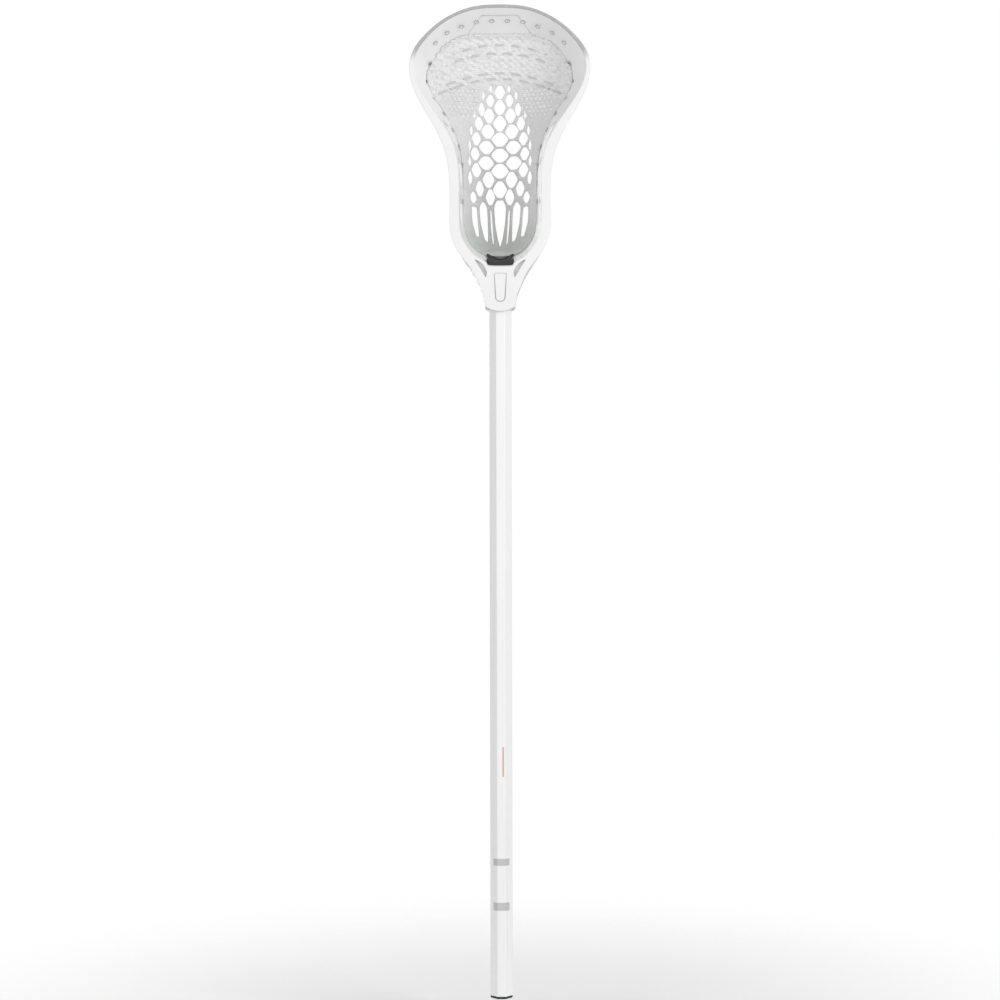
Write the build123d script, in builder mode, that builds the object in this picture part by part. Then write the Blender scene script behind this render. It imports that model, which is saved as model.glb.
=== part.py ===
"""Field lacrosse stick: an octagonal shaft, a moulded head, a one-piece knitted pocket and their fixings.

Millimetres. +Z runs up the shaft from the butt to the scoop, -Y is the open face of the head and +Y its back,
where the pocket hangs. The origin is the centre of the butt, on the shaft's axis.
"""

from build123d import *
import os
from math import hypot

# ---------------------------------------------------------------- driving dimensions
STICK_LENGTH = 1016.0
HEAD_LENGTH = 313.0  # from the hem of the throat to the lip of the scoop
CAP_FLANGE = 2.6  # thickness of the butt cap outside the shaft
CAP_PLUG = 24.0
CAP_RIBS = 3

SHAFT_WIDTH = 22.7  # across the sides, along X
SHAFT_DEPTH = 27.0  # front to back, along Y
SHAFT_FRONT_FLAT = 8.4  # width of the front and back flats
SHAFT_SIDE_FLAT = 12.6  # width of the side flats
SHAFT_WALL = 1.4
SHAFT_CORNER = 1.3  # radius on the eight long edges

HEM_Z = STICK_LENGTH - HEAD_LENGTH  # lowest point of the throat, 703
SOCKET_DEPTH = 42.0  # how far the shaft goes into the throat
SOCKET_FIT = 0.05
SHAFT_TOP = HEM_Z + SOCKET_DEPTH

SCREW_Z = HEM_Z + 19.0
SCREW_SHANK_R = 1.9
SCREW_HEAD_R = 4.0
SCREW_HEAD_HEIGHT = 2.4
SCREW_LENGTH = 9.0
SCREW_CLEARANCE = 0.08
SCREW_SEAT_R = SCREW_HEAD_R + 0.4
SCREW_SUNK = SCREW_HEAD_HEIGHT + 0.5  # depth of the screw's seat below the throat's back
THROAT_BACK_Y = 18.0

WEB = 3.2  # thickness of the sidewalls between their rails
FABRIC = 1.5  # thickness of the knitted pocket
FABRIC_GAP = 0.3  # between the pocket and the head
PAD_THICKNESS = 3.4
BADGE_THICKNESS = 0.8

NEAR_Y = -20.0  # the planes between which the walls of the head are lofted, in front of it and behind it
FAR_Y = 40.0
WIDE = 130.0  # further than the head reaches to either side

# Right half of the head's rim from the scoop's centre down: the outside of its front edge (x, z), the rail's
# width there, the inside of its back edge (x, z), where the knit starts, and the wall's width at the back.
RIM = [
    (0.0, 1016.0, 2.2, 0.0, 990.0, 3.8),
    (30.0, 1013.2, 2.2, 25.0, 989.2, 3.8),
    (57.0, 1001.8, 2.4, 47.5, 983.0, 3.8),
    (77.5, 985.5, 3.0, 62.5, 971.5, 4.0),
    (90.0, 968.5, 4.0, 71.3, 957.8, 4.4),
    (93.7, 950.0, 5.2, 74.5, 944.5, 5.0),
    (88.9, 931.0, 6.2, 70.8, 933.0, 5.6),
    (72.5, 904.5, 7.6, 56.5, 913.8, 6.6),
    (58.2, 879.0, 9.2, 42.6, 887.0, 7.4),
    (53.4, 858.0, 9.6, 38.6, 860.0, 7.8),
    (51.9, 828.0, 9.6, 38.0, 828.0, 7.8),
    (51.5, 795.0, 9.6, 37.0, 797.0, 7.8),
]
# The outside goes on to the throat: x and z of the front edge and how far the wall closes in at the back.
THROAT = [
    (49.0, 776.5, 4.0),
    (40.3, 760.4, 2.0),
    (26.8, 742.0, 0.0),
    (18.6, 723.5, 0.0),
    (15.3, 708.0, 0.0),
]
# The inside goes on round the heel of the pocket: its front edge and its back edge (x, z).
HEEL = [
    (39.2, 779.5, 32.6, 782.5),
    (32.1, 767.3, 25.8, 773.0),
    (25.3, 759.8, 19.4, 768.0),
    (13.8, 752.0, 10.4, 764.8),
    (0.0, 748.8, 0.0, 763.9),
]
# Side view of the wall, (z, y): its front edge and its back edge.
FRONT_EDGE = [(680, -17), (742, -17), (775, -13), (820, -6), (870, -4), (925, -7), (975, -12), (1030, -19)]
BACK_EDGE = [
    (680, 17),
    (738, 18),
    (770, 25),
    (800, 31),
    (845, 35),
    (885, 34),
    (925, 29),
    (955, 22),
    (990, 12),
    (1030, 2),
]
HEAD_LOW, HEAD_HIGH = 695.0, 1024.0  # heights between which those edges bound the head

# Between its rails the wall is a web, thinner than they are and pierced by three windows.
WEB_LOW, WEB_HIGH = 750.0, 918.0
WEB_FRONT_RAIL, WEB_BACK_RAIL = 8.5, 10.5
WINDOWS = [(794, 825), (833, 867), (875, 905)]  # the openings of each sidewall, low and high
WINDOW_SLANT = 7.0
WINDOW_FRONT_RAIL, WINDOW_BACK_RAIL = 11.5, 12.5
WINDOW_CORNER = 3.0

# Front edge of the hem of the pocket, which laps round the outside of the wall to the row of eyelets.
HEM_EDGE = [
    (780, 17.5),
    (800, 21.5),
    (845, 25.5),
    (885, 24.5),
    (925, 19),
    (950, 12),
    (975, -4),
    (990, -10),
    (1030, -16),
]
HEM_BOTTOM, HEM_TOP = 792.0, 1020.0
HEM_OUTSIDE = 1.6  # how far the hem's outside stands off the wall

EYELET_PITCH = 16.0  # along the scoop
EYELET_DEPTH = 0.45  # share of the way from the front edge to the back edge
SCOOP_EYELETS = 5  # either side of the middle
SIDE_FIRST, SIDE_PITCH, SIDE_DEPTH, SIDE_EYELETS = 84.0, 19.0, 0.83, 9
EYELET_R = 1.6  # bore
EYELET_OUTER = 2.1
EYELET_FLANGE_R, EYELET_FLANGE = 2.8, 0.5

# The knitted pocket as sections across it, from the scoop down: z, half width, y of its edge, y of its
# middle. The sections reach a little into the wall, whose inside trims them.
POCKET = [
    (994.0, 36.0, 10.6, 10.8),
    (978.0, 58.5, 14.4, 19.0),
    (962.0, 71.5, 19.2, 29.0),
    (940.0, 75.5, 24.4, 41.0),
    (915.0, 60.5, 29.0, 52.0),
    (885.0, 45.0, 32.6, 60.5),
    (855.0, 41.4, 33.4, 65.5),
    (820.0, 40.8, 31.6, 66.5),
    (790.0, 37.6, 27.2, 58.5),
    (772.0, 28.0, 23.4, 42.0),
    (762.0, 17.5, 21.6, 27.0),
]
# The open net in the middle of the pocket.
CELL_TOP_Z = 937.8  # middle of the highest cell
CELL_PITCH = 16.5
CELL_COLUMN = 10.6
CELL_HALF_WIDTH, CELL_HALF_HEIGHT, CELL_HALF_BAR = 7.9, 6.9, 1.6
CELL_ROWS = {0: (0, 7), 1: (0.5, 6), 2: (1, 5)}  # by column from the middle out: first row and how many cells
# Long slots between the runners below the cells: x, half width, top, bottom.
RUNNER_SLOTS = [(0.0, 5.0, 825.0, 778.0), (15.5, 4.6, 824.0, 785.0), (25.6, 2.8, 817.0, 792.0)]

# Four laces cross the pocket above the net, in two pairs: height of each at the middle.
SHOOTERS = [982.0, 974.5, 956.0, 950.6]
SHOOTER_DROP = 13.5  # how much lower each lace is SHOOTER_SPAN from the middle
SHOOTER_SPAN = 58.0
SHOOTER_REACH = [48.0, 55.0, 63.0, 64.0]
SHOOTER_WIDTH = 2.2
SHOOTER_THICKNESS = 1.2

# The ball stop lies on the heel, a dog-bone seen along Z: its ears, its waist and its front and back edges.
PAD_HALF_WIDTH = 14.2
PAD_WAIST = 11.4
PAD_FRONT_Y, PAD_EAR_Y, PAD_WAIST_Y, PAD_BACK_Y = -13.0, -11.0, 2.0, 15.0
PAD_BACK_EAR, PAD_BACK_DIP_Y = 11.0, 12.0
BADGE_TOP, BADGE_POINT = (9.6, 11.0), (2.4, -1.4)  # half of the badge's triangle
BADGE_TOP_DIP_Y = 9.0
HEEL_LOW, HEEL_RISE = 740.0, 45.0  # heights that hold the heel

# Right half of the throat's front: a recess beside the strut, and the tongue that a groove outlines.
RECESS = [(13.6, 742.7), (14.8, 737.6), (26.0, 756.1)]
RECESS_BULGE = (16.9, 749.7)
RECESS_FLOOR_Y = -11.5
TONGUE_TOP, TONGUE_LOW, TONGUE_TIP_Z = (6.6, 742.0), (5.2, 718.0), 712.5
GROOVE_WIDTH, GROOVE_FLOOR_Y = 0.7, -16.5


# ---------------------------------------------------------------- geometry shared by the pieces
def read_curve(curve, at):
    """The second value of a list of pairs at a value of the first, straight between the pairs."""
    for (a, low), (b, high) in zip(curve, curve[1:]):
        if at <= b:
            return low + (high - low) * (at - a) / (b - a)
    return curve[-1][1]


def towards(start, end, distance):
    """The point that far along from one point to another."""
    reach = hypot(end[0] - start[0], end[1] - start[1])
    share = distance / reach
    return (start[0] + (end[0] - start[0]) * share, start[1] + (end[1] - start[1]) * share)


def at_depth(depth, front, back):
    """Where the straight line from a point of the front edge to one of the back edge is at a depth."""
    front_y, back_y = read_curve(FRONT_EDGE, front[1]), read_curve(BACK_EDGE, back[1])
    share = (depth - front_y) / (back_y - front_y)
    return (front[0] + (back[0] - front[0]) * share, front[1] + (back[1] - front[1]) * share)


def outside_at(depth, web=False, grow=0.0):
    """Right half of the head's outside at a depth, larger by grow; with web, that of the thinner web."""
    points = []
    for x, z, rail, inner_x, inner_z, back_rail in RIM:
        front, crease = (x, z), (inner_x, inner_z)
        if web:
            front = towards(front, crease, max(rail - WEB, 0.4))
        back = towards(crease, front, min(back_rail, WEB) if web else back_rail)
        points.append(at_depth(depth, towards(front, crease, -grow), towards(back, crease, -grow)))
    for x, z, closing in THROAT:
        inset = RIM[-1][2] - WEB if web else -grow
        points.append(at_depth(depth, (x - inset, z), (x - inset - closing, z)))
    return points


def mouth_at(depth, raised=0.0):
    """Right half of the opening inside the rim at a depth, drawn in all round by so much."""
    points = []
    for x, z, rail, inner_x, inner_z, _ in RIM:
        front = towards((x, z), (inner_x, inner_z), rail + raised)
        points.append(at_depth(depth, front, towards((inner_x, inner_z), front, -raised)))
    middle = (0.0, 800.0)
    for x, z, inner_x, inner_z in HEEL:
        front, back = towards((x, z), middle, raised), towards((inner_x, inner_z), middle, raised)
        points.append(at_depth(depth, front, back))
    return points


def plane_at(y):
    """The front view's plane at a depth: local x is X and local y is Z."""
    return Plane.XZ.offset(-y)


def mouth_face(y, raised=0.0):
    """The opening of the head at a depth, a closed outline either side of the centre line."""
    right = mouth_at(y, raised)
    left = [(-x, z) for x, z in right]
    with BuildSketch(plane_at(y)) as face:
        with BuildLine():
            Spline(*right, tangents=[(1, 0), (-1, 0)])
            Spline(*left, tangents=[(-1, 0), (1, 0)])
        make_face()
    return face.sketch


def head_face(y, web=False, grow=0.0):
    """The whole silhouette at a depth, closed by the curved hem of the throat."""
    right = outside_at(y, web, grow)
    left = [(-x, z) for x, z in right]
    with BuildSketch(plane_at(y)) as face:
        with BuildLine():
            Spline(*right, tangents=[(1, 0), (-0.16, -1)])
            Spline(*left, tangents=[(-1, 0), (0.16, -1)])
            ThreePointArc(right[-1], (0, HEM_Z), left[-1])
        make_face()
    return face.sketch


def side_band(front, back, low, high):
    """Side view of what lies between two edges of the wall, from one height to another."""
    heights = [low] + [z for z, _ in front if low + 8 < z < high - 8] + [high]
    near = [(read_curve(front, z), z) for z in heights]
    heights = [low] + [z for z, _ in back if low + 8 < z < high - 8] + [high]
    far = [(read_curve(back, z), z) for z in heights]
    with BuildSketch(Plane.YZ) as band:
        with BuildLine():
            Spline(*near)
            Spline(*far)
            Line(near[0], far[0])
            Line(near[-1], far[-1])
        make_face()
    return band.sketch


def shifted(curve, by):
    return [(z, y + by) for z, y in curve]


def shaft_section(grow=0.0):
    """The shaft's outline, larger all round by grow: flats front, back and at the sides, and four bevels."""
    x, y = SHAFT_WIDTH / 2 + grow, SHAFT_DEPTH / 2 + grow
    flat_x, flat_y = SHAFT_FRONT_FLAT / 2 + 0.4 * grow, SHAFT_SIDE_FLAT / 2 + 0.4 * grow
    with BuildSketch() as section:
        with BuildLine():
            Polyline(
                (flat_x, -y),
                (x, -flat_y),
                (x, flat_y),
                (flat_x, y),
                (-flat_x, y),
                (-x, flat_y),
                (-x, -flat_y),
                (-flat_x, -y),
                close=True,
            )
        make_face()
        fillet(section.vertices(), max(SHAFT_CORNER + grow, 0.8))
    return section.sketch


def crescent(z, half_width, edge_y, middle_y, front, back):
    """Section across the pocket at a height, from so far in front of its face to so far behind it."""
    belly = [(-1.0, 0.0), (-0.62, 0.66), (0.0, 1.0), (0.62, 0.66), (1.0, 0.0)]
    curve = [(share * half_width, edge_y + rise * (middle_y - edge_y)) for share, rise in belly]
    with BuildSketch(Plane.XY.offset(z)) as strip:
        with BuildLine():
            Spline(*[(x, y - front) for x, y in curve])
            Spline(*[(x, y + back) for x, y in curve])
            for x, y in (curve[0], curve[-1]):
                Line((x, y - front), (x, y + back))
        make_face()
    return strip.sketch


def pocket_layer(front, back):
    """Sections of a layer of the pocket, measured from its face."""
    return [crescent(*row, front, back) for row in POCKET]


def inside_of_head():
    """What fits inside the wall, and the space behind it."""
    with BuildPart() as inside:
        loft([mouth_face(NEAR_Y, FABRIC_GAP), mouth_face(FAR_Y, FABRIC_GAP)])
        extrude(mouth_face(FAR_Y, FABRIC_GAP), amount=-40)
    return inside.part


def wall_point(row, share, depth):
    """Point of the wall's inside between two rows of the rim, its generator and the wall's thickness."""
    near, far, thickness = [], [], []
    for x, z, rail, inner_x, inner_z, back_rail in RIM[row : row + 2]:
        front = towards((x, z), (inner_x, inner_z), rail)
        near.append(Vector(front[0], read_curve(FRONT_EDGE, front[1]), front[1]))
        far.append(Vector(inner_x, read_curve(BACK_EDGE, inner_z), inner_z))
        thickness.append(rail + (back_rail - rail) * depth)
    start = near[0] + (near[1] - near[0]) * share
    across = far[0] + (far[1] - far[0]) * share - start
    wall = (thickness[0] + (thickness[1] - thickness[0]) * share) * across.Y / across.length
    return start + across * depth, across, wall


def rivet_row(first, pitch, count, depth):
    """Planes at a pitch along the right half's wall, facing out, each with the wall's thickness."""
    rivets, gone, row = [], 0.0, 0
    while len(rivets) < count:
        start, across, wall = wall_point(row, 0.0, depth)
        end, _, _ = wall_point(row, 1.0, depth)
        along = (end - start).normalized()
        length = (end - start).length
        wanted = first + pitch * len(rivets)
        if wanted > gone + length:
            gone += length
            row += 1
            continue
        normal = across.cross(along).normalized()
        outwards = normal if normal.dot(Vector(1, 0, 1)) > 0 else normal * -1
        place = start + along * (wanted - gone)
        rivets.append((Plane(place, x_dir=along, z_dir=outwards), wall))
    return rivets


def save(piece, name):
    piece.part.label = name
    export_step(piece.part, f"parts/{name}.step")


os.makedirs("parts", exist_ok=True)

# ---------------------------------------------------------------- shaft
with BuildPart() as shaft:
    with BuildSketch(Plane.XY.offset(CAP_FLANGE)):
        add(shaft_section())
        add(shaft_section(-SHAFT_WALL), mode=Mode.SUBTRACT)
    extrude(amount=SHAFT_TOP - CAP_FLANGE)
    with Locations(Plane((0, SHAFT_DEPTH / 2 + 1, SCREW_Z), z_dir=(0, 1, 0))):
        Hole(SCREW_SHANK_R + SCREW_CLEARANCE, depth=SHAFT_WALL + 3)
save(shaft, "shaft")

# ---------------------------------------------------------------- butt cap
with BuildPart() as end_cap:
    with BuildSketch():
        add(shaft_section(-0.1))
    extrude(amount=CAP_FLANGE)
    chamfer(end_cap.faces().sort_by(Axis.Z)[0].edges(), 0.8)
    with BuildSketch(Plane.XY.offset(CAP_FLANGE)):
        add(shaft_section(-SHAFT_WALL - 0.6))
    extrude(amount=CAP_PLUG)
    chamfer(end_cap.faces().sort_by(Axis.Z)[-1].edges(), 0.5)
    for rib in range(CAP_RIBS):
        with BuildSketch(Plane.XY.offset(CAP_FLANGE + 5 + 6 * rib)):
            add(shaft_section(-SHAFT_WALL - 0.08))
        extrude(amount=1.4)
    with BuildSketch(Plane.XY.offset(CAP_FLANGE + 4)):
        add(shaft_section(-SHAFT_WALL - 3.6))
    extrude(amount=CAP_PLUG, mode=Mode.SUBTRACT)
save(end_cap, "end_cap")

# ---------------------------------------------------------------- head
scoop_rivets = rivet_row(EYELET_PITCH / 2, EYELET_PITCH, SCOOP_EYELETS, EYELET_DEPTH)
side_rivets = rivet_row(SIDE_FIRST, SIDE_PITCH, SIDE_EYELETS, SIDE_DEPTH)
with BuildPart() as rivet_holes:
    for plane, wall in scoop_rivets + side_rivets:
        with Locations(plane):
            Cylinder(EYELET_OUTER, 2 * wall + 8)
    mirror(about=Plane.YZ)

# The web between the rails is thinner than they are, so its outside is cut back by this piece.
with BuildPart() as web_cut:
    web_front, web_back = shifted(FRONT_EDGE, WEB_FRONT_RAIL), shifted(BACK_EDGE, -WEB_BACK_RAIL)
    extrude(side_band(web_front, web_back, WEB_LOW, WEB_HIGH), amount=WIDE, both=True)
    loft([head_face(NEAR_Y, web=True), head_face(FAR_Y, web=True)], mode=Mode.SUBTRACT)

with BuildPart() as head_frame:
    loft([head_face(NEAR_Y), head_face(FAR_Y)])
    loft([mouth_face(NEAR_Y), mouth_face(FAR_Y)], mode=Mode.SUBTRACT)
    head_side = side_band(FRONT_EDGE, BACK_EDGE, HEAD_LOW, HEAD_HIGH)
    extrude(head_side, amount=WIDE, both=True, mode=Mode.INTERSECT)
    add(web_cut.part, mode=Mode.SUBTRACT)
    for low, high in WINDOWS:
        near_low = read_curve(FRONT_EDGE, low) + WINDOW_FRONT_RAIL
        near_high = read_curve(FRONT_EDGE, high) + WINDOW_FRONT_RAIL
        far_low = read_curve(BACK_EDGE, low) - WINDOW_BACK_RAIL
        far_high = read_curve(BACK_EDGE, high) - WINDOW_BACK_RAIL
        with BuildSketch(Plane.YZ) as opening:
            with BuildLine():
                Polyline(
                    (near_low, low + WINDOW_SLANT),
                    (near_high, high),
                    (far_high, high - WINDOW_SLANT),
                    (far_low, low),
                    close=True,
                )
            make_face()
            fillet(opening.vertices(), WINDOW_CORNER)
        extrude(amount=WIDE, both=True, mode=Mode.SUBTRACT)
    # Socket for the shaft, blind at its top.
    with BuildSketch(Plane.XY.offset(HEM_Z - 5)):
        add(shaft_section(SOCKET_FIT))
    extrude(amount=SOCKET_DEPTH + 5 + 0.1, mode=Mode.SUBTRACT)
    # Recesses between the throat and the two struts that run up to the sidewalls.
    for side in (1, -1):
        corners = [(side * x, z) for x, z in RECESS]
        with BuildSketch(plane_at(NEAR_Y)):
            with BuildLine():
                Polyline(*corners)
                ThreePointArc(corners[-1], (side * RECESS_BULGE[0], RECESS_BULGE[1]), corners[0])
            make_face()
        extrude(amount=NEAR_Y - RECESS_FLOOR_Y, mode=Mode.SUBTRACT)
    # Tongue outlined on the front of the throat by a shallow groove.
    with BuildSketch(plane_at(NEAR_Y)):
        for inset in (0.0, GROOVE_WIDTH):
            top_x, top_z = TONGUE_TOP[0] - inset, TONGUE_TOP[1] - inset
            low_x, low_z = TONGUE_LOW[0] - inset, TONGUE_LOW[1]
            with BuildLine():
                Polyline((-low_x, low_z), (-top_x, top_z), (top_x, top_z), (low_x, low_z))
                ThreePointArc((low_x, low_z), (0, TONGUE_TIP_Z + inset), (-low_x, low_z))
            make_face(mode=Mode.SUBTRACT if inset else Mode.ADD)
    extrude(amount=NEAR_Y - GROOVE_FLOOR_Y, mode=Mode.SUBTRACT)
    # Screw hole, counterbored into the back of the throat.
    with Locations(Plane((0, THROAT_BACK_Y, SCREW_Z), z_dir=(0, 1, 0))):
        CounterBoreHole(SCREW_SHANK_R + SCREW_CLEARANCE, SCREW_SEAT_R, SCREW_SUNK, depth=8)
    # Holes for the eyelets, along the scoop and down the back rails.
    add(rivet_holes.part, mode=Mode.SUBTRACT)
save(head_frame, "head_frame")


# ---------------------------------------------------------------- eyelets
def eyelet(wall):
    """Hollow rivet along Z, its front flange on the wall's inside at z = 0, its back one behind the hem."""
    length = wall + HEM_OUTSIDE
    with BuildPart() as rivet:
        with Locations((0, 0, -EYELET_FLANGE)):
            Cylinder(EYELET_OUTER, length + 2 * EYELET_FLANGE, align=(Align.CENTER, Align.CENTER, Align.MIN))
            Cylinder(EYELET_FLANGE_R, EYELET_FLANGE, align=(Align.CENTER, Align.CENTER, Align.MIN))
        with Locations((0, 0, length)):
            Cylinder(EYELET_FLANGE_R, EYELET_FLANGE, align=(Align.CENTER, Align.CENTER, Align.MIN))
        rims = rivet.edges().filter_by(GeomType.CIRCLE).sort_by(Axis.Z)
        fillet([rims[0], rims[-1]], 0.3)
        Hole(EYELET_R)
    return rivet.part


with BuildPart() as scoop_eyelets:
    for plane, wall in scoop_rivets:
        add(plane.location * eyelet(wall))
    mirror(about=Plane.YZ)
save(scoop_eyelets, "scoop_eyelets")

with BuildPart() as right_rail_eyelets:
    for plane, wall in side_rivets:
        add(plane.location * eyelet(wall))
save(right_rail_eyelets, "right_rail_eyelets")

with BuildPart() as left_rail_eyelets:
    mirror(right_rail_eyelets.part, about=Plane.YZ)
save(left_rail_eyelets, "left_rail_eyelets")

# ---------------------------------------------------------------- pocket
with BuildPart() as pocket_hem:
    loft([head_face(NEAR_Y, grow=HEM_OUTSIDE), head_face(FAR_Y, grow=HEM_OUTSIDE)])
    loft([head_face(NEAR_Y, grow=FABRIC_GAP), head_face(FAR_Y, grow=FABRIC_GAP)], mode=Mode.SUBTRACT)
    hem_side = side_band(HEM_EDGE, shifted(BACK_EDGE, -0.4), HEM_BOTTOM, HEM_TOP)
    extrude(hem_side, amount=WIDE, both=True, mode=Mode.INTERSECT)
    add(rivet_holes.part, mode=Mode.SUBTRACT)
save(pocket_hem, "pocket_hem")

with BuildPart() as knit_pocket:
    loft(pocket_layer(0, FABRIC))
    add(inside_of_head(), mode=Mode.INTERSECT)
    # The open net in its middle: columns of six-sided cells, and slots between the runners at the bottom.
    with BuildSketch(Plane.XZ):
        for column, (first, count) in CELL_ROWS.items():
            for row in range(count):
                z = CELL_TOP_Z - CELL_PITCH * (first + row)
                with Locations((-column * CELL_COLUMN, z), (column * CELL_COLUMN, z)):
                    Polygon(
                        (CELL_HALF_WIDTH, 0),
                        (CELL_HALF_BAR, CELL_HALF_HEIGHT),
                        (-CELL_HALF_BAR, CELL_HALF_HEIGHT),
                        (-CELL_HALF_WIDTH, 0),
                        (-CELL_HALF_BAR, -CELL_HALF_HEIGHT),
                        (CELL_HALF_BAR, -CELL_HALF_HEIGHT),
                    )
        for x, half_width, top, bottom in RUNNER_SLOTS:
            with Locations((-x, (top + bottom) / 2), (x, (top + bottom) / 2)):
                SlotOverall(top - bottom, 2 * half_width, rotation=90)
    extrude(amount=-100, mode=Mode.SUBTRACT)
save(knit_pocket, "knit_pocket")

for number, (middle_z, reach) in enumerate(zip(SHOOTERS, SHOOTER_REACH), start=1):
    with BuildPart() as shooting_lace:
        loft(pocket_layer(SHOOTER_THICKNESS + 0.1, -0.1))
        with BuildSketch(Plane.XZ):
            with BuildLine():
                end_z = middle_z - SHOOTER_DROP * (reach / SHOOTER_SPAN) ** 2
                for edge in (SHOOTER_WIDTH / 2, -SHOOTER_WIDTH / 2):
                    ThreePointArc((-reach, end_z + edge), (0, middle_z + edge), (reach, end_z + edge))
                for x in (-reach, reach):
                    Line((x, end_z - SHOOTER_WIDTH / 2), (x, end_z + SHOOTER_WIDTH / 2))
            make_face()
        extrude(amount=-100, mode=Mode.INTERSECT)
    save(shooting_lace, f"shooting_lace_{number}")

# ---------------------------------------------------------------- ball stop
with BuildPart() as ball_stop_pad:
    with BuildSketch(Plane.XY.offset(HEEL_LOW)):
        front_x, ear_x, back_x = PAD_HALF_WIDTH - 1.8, PAD_HALF_WIDTH, PAD_BACK_EAR
        with BuildLine():
            Polyline((-ear_x, PAD_EAR_Y), (-front_x, PAD_FRONT_Y), (front_x, PAD_FRONT_Y), (ear_x, PAD_EAR_Y))
            ThreePointArc((ear_x, PAD_EAR_Y), (PAD_WAIST, PAD_WAIST_Y), (ear_x, PAD_BACK_Y))
            Line((ear_x, PAD_BACK_Y), (back_x, PAD_BACK_Y))
            ThreePointArc((back_x, PAD_BACK_Y), (0, PAD_BACK_DIP_Y), (-back_x, PAD_BACK_Y))
            Line((-back_x, PAD_BACK_Y), (-ear_x, PAD_BACK_Y))
            ThreePointArc((-ear_x, PAD_BACK_Y), (-PAD_WAIST, PAD_WAIST_Y), (-ear_x, PAD_EAR_Y))
        make_face()
    extrude(amount=HEEL_RISE)
    loft([mouth_face(NEAR_Y, 0.1), mouth_face(FAR_Y, 0.1)], mode=Mode.INTERSECT)
    loft([mouth_face(NEAR_Y, PAD_THICKNESS), mouth_face(FAR_Y, PAD_THICKNESS)], mode=Mode.SUBTRACT)
save(ball_stop_pad, "ball_stop_pad")

with BuildPart() as ball_stop_badge:
    with BuildSketch(Plane.XY.offset(HEEL_LOW)) as badge:
        (top_x, top_y), (point_x, point_y) = BADGE_TOP, BADGE_POINT
        with BuildLine():
            Polyline((-top_x, top_y), (-point_x, point_y), (point_x, point_y), (top_x, top_y))
            ThreePointArc((top_x, top_y), (0, BADGE_TOP_DIP_Y), (-top_x, top_y))
        make_face()
        fillet(badge.vertices(), 0.8)
    extrude(amount=HEEL_RISE)
    lying = PAD_THICKNESS + 0.1
    loft([mouth_face(NEAR_Y, lying), mouth_face(FAR_Y, lying)], mode=Mode.INTERSECT)
    raised = PAD_THICKNESS + BADGE_THICKNESS
    loft([mouth_face(NEAR_Y, raised), mouth_face(FAR_Y, raised)], mode=Mode.SUBTRACT)
save(ball_stop_badge, "ball_stop_badge")

# ---------------------------------------------------------------- head screw
SEAT_Y = THROAT_BACK_Y - SCREW_SUNK
with BuildPart() as head_screw:
    with Locations(Plane((0, SEAT_Y, SCREW_Z), z_dir=(0, 1, 0))):
        Cylinder(SCREW_HEAD_R, SCREW_HEAD_HEIGHT, align=(Align.CENTER, Align.CENTER, Align.MIN))
        Cylinder(SCREW_SHANK_R, SCREW_LENGTH, align=(Align.CENTER, Align.CENTER, Align.MAX))
    chamfer(head_screw.edges().filter_by(GeomType.CIRCLE).sort_by(Axis.Y)[0], 0.7)
    fillet(head_screw.edges().filter_by(GeomType.CIRCLE).sort_by(Axis.Y)[-1], 1.2)
    with BuildSketch(Plane((0, SEAT_Y + SCREW_HEAD_HEIGHT, SCREW_Z), z_dir=(0, 1, 0))):
        Rectangle(4.2, 1.0)
        Rectangle(1.0, 4.2)
    extrude(amount=-1.5, taper=12, mode=Mode.SUBTRACT)
save(head_screw, "head_screw")
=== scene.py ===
import math

import bmesh
import bpy
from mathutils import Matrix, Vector
from mathutils.bvhtree import BVHTree
from mathutils.geometry import delaunay_2d_cdt
from mathutils.kdtree import KDTree


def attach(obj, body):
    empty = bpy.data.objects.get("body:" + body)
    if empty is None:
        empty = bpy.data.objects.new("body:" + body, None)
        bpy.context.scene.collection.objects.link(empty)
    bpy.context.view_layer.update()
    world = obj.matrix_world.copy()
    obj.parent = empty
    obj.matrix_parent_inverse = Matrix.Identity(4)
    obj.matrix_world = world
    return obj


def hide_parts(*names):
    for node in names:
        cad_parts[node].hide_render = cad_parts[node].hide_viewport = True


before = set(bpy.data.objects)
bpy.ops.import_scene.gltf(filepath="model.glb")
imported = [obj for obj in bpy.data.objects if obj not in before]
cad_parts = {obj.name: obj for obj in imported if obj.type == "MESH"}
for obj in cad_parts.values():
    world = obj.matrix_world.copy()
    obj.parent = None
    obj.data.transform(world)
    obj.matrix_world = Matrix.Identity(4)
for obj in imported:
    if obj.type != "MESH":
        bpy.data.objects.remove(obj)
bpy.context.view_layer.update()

scene = bpy.context.scene
MM = 0.001

# ---------------------------------------------------------------- camera
camera_data = bpy.data.cameras.new("camera")
camera_data.lens = 73.5
camera_data.sensor_width = 36.0
camera = bpy.data.objects.new("camera", camera_data)
camera.location = (-0.0007, -2.100, 0.5104)
camera.rotation_euler = (math.pi / 2, 0.0021, 0.0)
scene.collection.objects.link(camera)
scene.camera = camera
scene.view_settings.view_transform = "Standard"


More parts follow.
